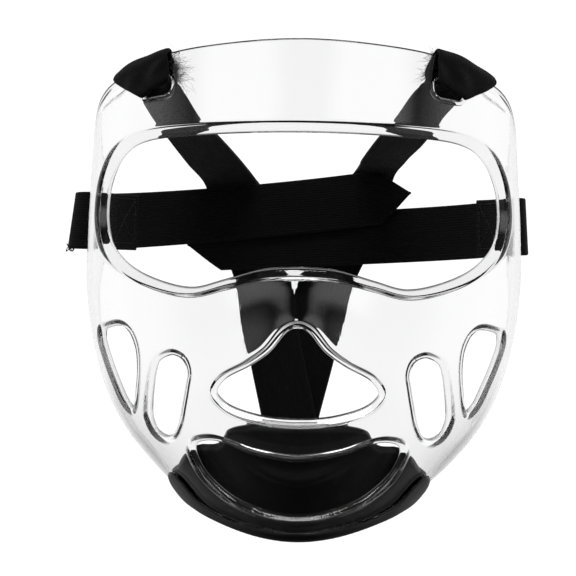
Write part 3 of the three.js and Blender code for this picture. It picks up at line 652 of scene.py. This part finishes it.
def top_strap(name, side, edges, route, shifts=()):
    def edge_row(pair):
        return straight_row(pair.mean(axis=0), (pair[0] - pair[1]) / STRAP_WIDTH)

    free = [edge_row(pair + FREE_END) for pair in (edges[1], edges[:2].mean(axis=0), edges[0])]
    inner_shifts = dict(shifts)
    fold = [fold_row(outer, np.array(inner) + (*inner_shifts.get(i, (0, 0)), 0), rise)
            for i, (outer, inner, rise) in enumerate(CORNER_FOLD)]
    back = [edge_row(pair) for pair in edges]
    route = np.array(route)
    yaw, pitch = np.radians(route[:, 3:]).T
    across = np.stack([np.cos(yaw) * np.cos(pitch), np.sin(yaw) * np.cos(pitch), np.sin(pitch)], axis=1)
    down = [straight_row(*pair) for pair in zip(route[:, :3], squared(route[:, :3], across))]
    rows = np.array(free + fold + back + down) * (side, 1, 1)
    return band(name, rows, False, GATHERS + [0] * (len(rows) - len(GATHERS)))


left_top, left_top_face = top_strap("left_top_webbing", -1, LEFT_EDGES, LEFT_ROUTE)
# the right fold sits a little higher and wider at its inner edge, by turn and height in these rows
RIGHT_SHIFTS = [(4, (0, 1.1)), (5, (0, 1.3)), (6, (-0.8, 1.1)), (7, (-1.8, 0.4))]
right_top, right_top_face = top_strap("right_top_webbing", 1, RIGHT_EDGES, RIGHT_ROUTE, RIGHT_SHIFTS)

# %% [markdown]
# ## Stitches, frayed threads and a loose knot
# Each strap's folded end is held by a sewn box with a cross in it. The cut ends of cheap webbing
# fray into a tuft, and the left loop has a knot of thread left at its corner. Every thread is a
# short spline with a round bevel, which is the lightest way to give a line real thickness.

# %% Threads as bevelled curves
STITCH_RADIUS, STITCH_LENGTH, KNOT_RADIUS = 0.2, 2.6, 0.16
STITCH_RISE = (-0.12, 0.1, 0.18, 0.1, -0.12)
FRAY_RADIUS, FRAY_STEP, FRAY_EDGE = 0.035, 0.5, -12


def threads(name, paths, radius):
    """One curve object with a round thread along each path."""
    curve = bpy.data.curves.new(name, "CURVE")
    curve.dimensions, curve.bevel_depth, curve.bevel_resolution = "3D", radius * MM, 1
    curve.use_fill_caps = True
    for path in paths:
        spline = curve.splines.new("POLY")
        spline.points.add(len(path) - 1)
        for point, place in zip(spline.points, path):
            point.co = (*place, 1)
    piece = bpy.data.objects.new(name, curve)
    bpy.context.scene.collection.objects.link(piece)
    print(name, "has", len(paths), "threads")
    return piece


def stitched_box(on_face, start, length, half, lift):
    """Short raised stitches round a box and along its two diagonals."""
    corners = [(start, -half), (start + length, -half), (start + length, half), (start, half)]
    lines = [*zip(corners, corners[1:] + corners[:1]), (corners[0], corners[2]), (corners[1], corners[3])]
    paths = []
    for (a, b), (c, d) in lines:
        count = round(math.hypot(c - a, d - b) / STITCH_LENGTH)
        for i in range(count):
            near, far = (i + 0.18) / count, (i + 0.82) / count
            path = [(a + (c - a) * t, b + (d - b) * t) for t in np.linspace(near, far, len(STITCH_RISE))]
            paths.append([on_face(u, v, lift + math.copysign(rise, lift))
                          for (u, v), rise in zip(path, STITCH_RISE)])
    return paths


# %% Four sewn boxes
box_lift = STRAP_THICKNESS / 2
sewing = [threads(name, stitched_box(*box), STITCH_RADIUS) for name, box in (
    ("left_side_stitches", (left_side_face, 3, 17, 9.5, -box_lift)),
    ("right_side_stitches", (right_side_face, 3, 17, 9.5, box_lift)),
    ("left_top_stitches", (left_top_face, 66, 12, 8, -box_lift)),
    ("right_top_stitches", (right_top_face, 66, 12, 8, -box_lift)))]


# %% Frayed tufts and the knot
def tuft(on_face, count, along, reach, longest, seed):
    """Threads that start along a cut edge and wander off, each its own way."""
    chance = random.Random(seed)
    paths = []
    for _ in range(count):
        place = Vector(on_face(chance.uniform(*along), FRAY_EDGE, chance.uniform(-0.5, 0.5)))
        heading = Vector([chance.uniform(*limits) for limits in reach])
        path = [place.copy()]
        for _ in range(chance.randint(4, longest)):
            place += heading * (FRAY_STEP * MM)
            heading = heading * 0.9 + Vector([chance.gauss(0, 0.5) for _ in range(3)])
            path.append(place.copy())
        paths.append(path)
    return paths


def knot(centre, radius, seed):
    """One thread wound round and round a small ball."""
    chance = random.Random(seed)
    tilt = [chance.uniform(0, math.pi) for _ in range(3)]
    path = []
    for t in np.linspace(0, 1, 90):
        way = Vector((math.cos(41 * t + tilt[0]), math.sin(29 * t + tilt[1]), math.cos(53 * t + tilt[2])))
        path.append(Vector(centre) + way * radius * (0.6 + 0.4 * math.sin(17 * t)) * MM)
    return [path]


left_fray = tuft(left_top_face, 480, along=(44, 57), reach=((0.1, 1), (-0.4, 0.3), (-0.6, 0.3)),
                 longest=10, seed=3)
right_fray = tuft(right_top_face, 220, along=(42, 58), reach=((-0.8, 0), (-0.4, 0.3), (-0.8, 0.2)),
                  longest=7, seed=5)
loop_corner = left_side_face(52, -12.2, 0)
loose = [threads("left_frayed_tuft", left_fray, FRAY_RADIUS),
         threads("right_frayed_tuft", right_fray, FRAY_RADIUS),
         threads("left_loop_knot", knot(loop_corner, radius=1.9, seed=8), KNOT_RADIUS)]
print("knot at", [round(v * 1000, 1) for v in loop_corner])

# %% [markdown]
# ## The finishes
# The sheet is polycarbonate. It is clear to the eye, yet moulding leaves slow waves in its skin,
# wiping leaves hair scratches, and handling leaves a thin haze. It also swallows a little light,
# so it looks greyer wherever the eye looks along the wall. The foam has a satin skin with fine
# pores, paler where it rubs. The webbing is woven in ribs that run along the strap, with a fuzzy
# loop pile and a flat selvedge at each edge. Sewing thread is dark, and frayed lint is paler.
# Each finish keeps its pattern in a node group that only outputs masks, tints and normals, and
# the numbers of the finish stay on its own shader.

# %% Small helpers for node trees
def linked(tree, kind, inputs=(), **settings):
    """Adds a node, sets its options, and fills its sockets with links or plain values."""
    node = tree.nodes.new(kind)
    for setting, value in settings.items():
        setattr(node, setting, value)
    for socket, value in dict(inputs).items():
        if isinstance(value, bpy.types.NodeSocket):
            tree.links.new(value, node.inputs[socket])
        else:
            node.inputs[socket].default_value = value
    return node


def math_node(tree, operation, *values):
    return linked(tree, "ShaderNodeMath", dict(enumerate(values)), operation=operation).outputs[0]


def noise(tree, vector, scale, detail=2.0, rough=0.5):
    return linked(tree, "ShaderNodeTexNoise", {"Vector": vector, "Scale": scale, "Detail": detail,
                                               "Roughness": rough}).outputs["Fac"]


def ranged(tree, value, low, high, out_low, out_high):
    """A smooth step from one range to another."""
    return linked(tree, "ShaderNodeMapRange", {0: value, 1: low, 2: high, 3: out_low, 4: out_high},
                  interpolation_type="SMOOTHSTEP").outputs[0]


def between(tree, share, low, high):
    """A colour between two others, by a share that changes over the surface."""
    mix = linked(tree, "ShaderNodeMix", {0: share, 6: (*low, 1), 7: (*high, 1)}, data_type="RGBA")
    return mix.outputs[2]


def wired(tree, node, sockets):
    for socket, value in sockets.items():
        tree.links.new(value, node.inputs[socket])


def node_group(name, outputs):
    """A new group with its output sockets, ready to be filled."""
    group = bpy.data.node_groups.new(name, "ShaderNodeTree")
    for output, kind in outputs.items():
        group.interface.new_socket(output, in_out="OUTPUT", socket_type="NodeSocket" + kind)
    return group, group.nodes.new("NodeGroupOutput")


def finish(name, group, colour, **settings):
    """A Principled material with a pattern group beside it."""
    material = bpy.data.materials.new(name)
    material.use_nodes = True
    tree = material.node_tree
    shader = tree.nodes["Principled BSDF"]
    shader.inputs["Base Color"].default_value = (*colour, 1)
    for socket, value in settings.items():
        shader.inputs[socket.replace("_", " ")].default_value = value
    pattern = tree.nodes.new("ShaderNodeGroup")
    pattern.node_tree = group
    return material, tree, shader, pattern


# %% Pattern of the clear sheet: waves, scratches and haze
group, out = node_group("moulded_sheet_marks", {"Haze": "Float", "Tint": "Color", "Normal": "Vector"})
place = group.nodes.new("ShaderNodeTexCoord").outputs["Object"]
waves = noise(group, place, 16.0, 1.0)
smears = ranged(group, noise(group, place, 38.0, 4.0, 0.6), 0.5, 0.75, 0.0, 1.0)
scratches = []
for turn, spread in ((0.5, 900.0), (-0.9, 1200.0)):
    turned = linked(group, "ShaderNodeMapping",
                    {"Vector": place, "Rotation": (0.2, turn, 0.1), "Scale": (1, 1, 0.02)})
    scratches.append(ranged(group, noise(group, turned.outputs[0], spread, 0.0), 0.74, 0.78, 0.0, 1.0))
scratched = math_node(group, "MAXIMUM", *scratches)
haze = math_node(group, "MULTIPLY_ADD", smears, 0.012, math_node(group, "MULTIPLY", scratched, 0.04))
soft = linked(group, "ShaderNodeBump", {"Height": waves, "Strength": 0.015, "Distance": 0.004})
cut = linked(group, "ShaderNodeBump", {"Height": scratched, "Strength": 0.02, "Distance": 0.00003,
                                       "Normal": soft.outputs[0]}, invert=True)
tint = between(group, smears, (0.995, 0.997, 0.997), (0.985, 0.988, 0.988))
wired(group, out, {"Haze": haze, "Tint": tint, "Normal": cut.outputs[0]})

clear, tree, shader, pattern = finish("clear_polycarbonate", group, (0.995, 0.997, 0.997),
                                      Transmission_Weight=1.0, IOR=1.585)
rough = math_node(tree, "ADD", pattern.outputs["Haze"], 0.008)
wired(tree, shader, {"Roughness": rough, "Base Color": pattern.outputs["Tint"],
                     "Normal": pattern.outputs["Normal"]})
deep = linked(tree, "ShaderNodeVolumeAbsorption", {"Color": (0.9, 0.9, 0.9, 1), "Density": 300.0})
wired(tree, tree.nodes["Material Output"], {"Volume": deep.outputs[0]})

# %% Pattern of the foam: pores, dimples and rubbed patches
group, out = node_group("foam_skin_marks", {"Rubbed": "Float", "Sheen": "Float", "Normal": "Vector"})
place = group.nodes.new("ShaderNodeTexCoord").outputs["Object"]
pores = linked(group, "ShaderNodeTexVoronoi", {"Vector": place, "Scale": 1500.0}).outputs["Distance"]
pebble = noise(group, place, 700.0, 3.0)
dimples = noise(group, place, 60.0, 2.0)
rubbed = ranged(group, noise(group, place, 90.0, 5.0, 0.65), 0.52, 0.72, 0.0, 1.0)
height = math_node(group, "MULTIPLY_ADD", pores, 0.4, pebble)
fine = linked(group, "ShaderNodeBump", {"Height": height, "Strength": 0.25, "Distance": 0.0002})
broad = linked(group, "ShaderNodeBump", {"Height": dimples, "Strength": 0.12, "Distance": 0.002,
                                         "Normal": fine.outputs[0]})
sheen = ranged(group, noise(group, place, 25.0, 3.0), 0.35, 0.65, 0.0, 1.0)
wired(group, out, {"Rubbed": rubbed, "Sheen": sheen, "Normal": broad.outputs[0]})

foam, tree, shader, pattern = finish("satin_foam", group, (0.006, 0.006, 0.006), Specular_IOR_Level=0.35)
skin = between(tree, pattern.outputs["Rubbed"], (0.003, 0.003, 0.003), (0.009, 0.009, 0.009))
rough = math_node(tree, "MULTIPLY_ADD", pattern.outputs["Sheen"], 0.14, 0.34)
wired(tree, shader, {"Base Color": skin, "Roughness": rough, "Normal": pattern.outputs["Normal"]})

# %% Pattern of the webbing: ribs, cross threads, pile and selvedge
RIB_PITCH, WEFT_PITCH = 1.15, 1.6
group, out = node_group("woven_ribs", {"Pile": "Float", "Selvedge": "Float", "Normal": "Vector"})
uv = linked(group, "ShaderNodeUVMap", uv_map="strap_millimetres")
split = linked(group, "ShaderNodeSeparateXYZ", {0: uv.outputs[0]})
along, across = split.outputs[0], split.outputs[1]
wander = math_node(group, "MULTIPLY", noise(group, uv.outputs[0], 0.35, 2.0), 1.2)
ribs = math_node(group, "SINE", math_node(group, "MULTIPLY_ADD", across, 2 * math.pi / RIB_PITCH, wander))
picks = math_node(group, "MULTIPLY", along, 2 * math.pi / WEFT_PITCH)
stagger = math_node(group, "MULTIPLY_ADD", math_node(group, "SIGN", ribs), 1.5, picks)
weft = math_node(group, "SINE", stagger)
weave = math_node(group, "MULTIPLY_ADD", weft, 0.35, ribs)
selvedge = ranged(group, math_node(group, "ABSOLUTE", across), 11.0, 11.4, 0.0, 1.0)
place = group.nodes.new("ShaderNodeTexCoord").outputs["Object"]
pile = noise(group, place, 1900.0, 5.0, 0.7)
tangle = math_node(group, "MULTIPLY_ADD", pile, 2.2, weave)
woven = linked(group, "ShaderNodeBump", {"Height": tangle, "Strength": 0.6, "Distance": 0.0002})
wired(group, out, {"Pile": ranged(group, pile, 0.42, 0.66, 0.0, 1.0), "Selvedge": selvedge,
                   "Normal": woven.outputs[0]})

webbing, tree, shader, pattern = finish("woven_webbing", group, (0.006, 0.006, 0.006), Roughness=0.85,
                                        Specular_IOR_Level=0.2, Sheen_Weight=0.05, Sheen_Roughness=0.5)
fluff = math_node(tree, "MULTIPLY", pattern.outputs["Pile"], 0.6)
paler = math_node(tree, "MULTIPLY_ADD", pattern.outputs["Selvedge"], 0.35, fluff)
wired(tree, shader, {"Base Color": between(tree, paler, (0.002, 0.002, 0.0021), (0.009, 0.009, 0.0093)),
                     "Normal": pattern.outputs["Normal"]})

# %% Thread: a twist of two plies, with painted shade in the grooves between them and painted light on their crowns
group, out = node_group("twisted_thread", {"PaintedPlyShade": "Float", "Normal": "Vector"})
place = group.nodes.new("ShaderNodeTexCoord").outputs["Object"]
twist = linked(group, "ShaderNodeTexWave", {"Vector": place, "Scale": 1100.0, "Distortion": 3.0})
ply = linked(group, "ShaderNodeBump",
             {"Height": twist.outputs["Fac"], "Strength": 0.5, "Distance": 0.0001})
# the twist's wave goes out both as a bump and as a mask of painted shade between the plies
wired(group, out, {"PaintedPlyShade": twist.outputs["Fac"], "Normal": ply.outputs[0]})


def twisted(name, middle, dark, pale, roughness):
    """A thread's finish, from three greys; the second and third paint shade into the grooves between the
    plies and light on their crowns.
    """
    material, tree, shader, pattern = finish(name, group, (middle,) * 3, Roughness=roughness)
    # painted shade and light: darker grey in the grooves between the plies, paler grey on their crowns
    colour = between(tree, pattern.outputs["PaintedPlyShade"], (dark,) * 3, (pale,) * 3)
    wired(tree, shader, {"Base Color": colour, "Normal": pattern.outputs["Normal"]})
    return material


thread = twisted("polyester_thread", 0.02, 0.008, 0.045, 0.55)
lint = twisted("frayed_lint", 0.12, 0.06, 0.2, 0.9)
print("finishes:", [m.name for m in (clear, foam, webbing, thread, lint)])

# %% [markdown]
# ## Hand the pieces over
# Each piece takes its finish, hides the imported piece it stands for, and rides on the root, as
# nothing on this guard moves by itself. Threads add to a strap and stand for no imported piece.

# %% Finishes and imported nodes
for piece, node, slot, material in (
        (shield, "face_shield", "clear_plastic", clear), (chin_pad, "chin_pad", "black_foam", foam),
        (left_side, "left_side_strap", "black_webbing", webbing),
        (right_side, "right_side_strap", "black_webbing", webbing),
        (left_top, "left_top_strap", "black_webbing", webbing),
        (right_top, "right_top_strap", "black_webbing", webbing)):
    piece.data.materials.append(material)
    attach(piece, "root")
    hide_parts(node)
for material, pieces in ((thread, sewing), (lint, loose)):
    for piece in pieces:
        piece.data.materials.append(material)
        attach(piece, "root")

# %% [markdown]
# ## Light and floor
# Clear plastic has no colour of its own, so it is seen by what it bends towards the eye. Product
# studios stand it before a bright screen and keep the top and bottom of the tent dark.
# Then every lip and bend draws a dark line, and the flat parts stay white. The tent is built in
# the world shader from the ray's own direction. One soft lamp hangs overhead for the glints.

# %% A tent that is white behind, dim in front and dark above and below
def grey_ramp(tree, value, stops):
    """Greys at places from -1 to 1."""
    ramp = linked(tree, "ShaderNodeValToRGB", {0: math_node(tree, "MULTIPLY_ADD", value, 0.5, 0.5)})
    elements = ramp.color_ramp.elements
    elements.remove(elements[-1])
    for i, (place, grey) in enumerate(stops):
        stop = elements[0] if i == 0 else elements.new(place / 2 + 0.5)
        stop.position, stop.color = place / 2 + 0.5, (grey, grey, grey, 1)
    return ramp.outputs["Color"]


# how white the tent is from front to back, and from below to above, at places from -1 to 1
SWEEP = [(-1, 0.05), (-0.5, 0.07), (0, 0.17), (0.4, 0.7), (0.7, 0.84), (0.95, 1)]
RISE = [(-1, 0.03), (-0.5, 0.1), (-0.25, 0.65), (-0.13, 1), (0.3, 1), (0.6, 0.15), (1, 0.04)]
# a soft patch of light on each side in front, as a direction, and the strength of the whole tent
GLOW, TENT_STRENGTH = (0.45, -0.79, 0.42), 1.08
world = bpy.data.worlds.new("white_tent")
bpy.context.scene.world = world
world.use_nodes = True
tree = world.node_tree
ray = tree.nodes.new("ShaderNodeTexCoord").outputs["Generated"]
axes = linked(tree, "ShaderNodeSeparateXYZ", {0: ray})
aside = math_node(tree, "ABSOLUTE", axes.outputs["X"])
sweep = math_node(tree, "MULTIPLY_ADD", aside, 0.75, axes.outputs["Y"])
ramps = {0: 1.0, 6: grey_ramp(tree, sweep, SWEEP), 7: grey_ramp(tree, axes.outputs["Z"], RISE)}
both = linked(tree, "ShaderNodeMix", ramps, data_type="RGBA", blend_type="MULTIPLY")
folded = linked(tree, "ShaderNodeCombineXYZ", {0: aside, 1: axes.outputs["Y"], 2: axes.outputs["Z"]})
toward = linked(tree, "ShaderNodeVectorMath", {0: folded.outputs[0], 1: GLOW}, operation="DOT_PRODUCT")
glow = ranged(tree, toward.outputs["Value"], 0.93, 0.985, 0.0, 0.7)
total = linked(tree, "ShaderNodeMix", {0: 1.0, 6: both.outputs[2], 7: glow},
               data_type="RGBA", blend_type="ADD")
tree.links.new(total.outputs[2], tree.nodes["Background"].inputs["Color"])
tree.nodes["Background"].inputs["Strength"].default_value = TENT_STRENGTH


# %% The overhead lamp and the floor
def softbox(name, place, size, radiance):
    """A rectangular lamp aimed at the guard; its radiance is how bright it looks in a mirror."""
    light = bpy.data.lights.new(name, "AREA")
    light.shape = "RECTANGLE"
    light.size, light.size_y = size
    light.energy = radiance * math.pi * size[0] * size[1]
    lamp = bpy.data.objects.new(name, light)
    lamp.location = place
    lamp.rotation_euler = (Vector((0, 0, 0.08)) - Vector(place)).to_track_quat("-Z", "Y").to_euler()
    bpy.context.scene.collection.objects.link(lamp)
    return lamp


softbox("overhead_softbox", (0, -0.5, 1.3), (0.8, 0.4), 6)
bm = bmesh.new()
bmesh.ops.create_grid(bm, x_segments=1, y_segments=1, size=0.6)
bmesh.ops.translate(bm, verts=bm.verts, vec=(0, 0.4, -0.45))
floor = to_object("pale_floor", bm)
matte = bpy.data.materials.new("pale_matte")
matte.use_nodes = True
shader = matte.node_tree.nodes["Principled BSDF"]
shader.inputs["Base Color"].default_value = (0.72, 0.72, 0.72, 1)
shader.inputs["Roughness"].default_value = 0.9
floor.data.materials.append(matte)

# %% [markdown]
# ## Colour and bounces
# The Standard view keeps black webbing black and the screen pure white. Light runs down the wall
# of the sheet like a pipe and is mirrored many times before it leaves, so more bounces are
# allowed than usual. With too few, the rims of the side openings would go black. The screen is
# a touch brighter than white, so that what the plastic keeps back does not turn it dull.

# %% View and light paths
bpy.context.scene.view_settings.view_transform = "Standard"
for kind in ("max", "transmission", "glossy"):
    setattr(bpy.context.scene.cycles, kind + "_bounces", 48)
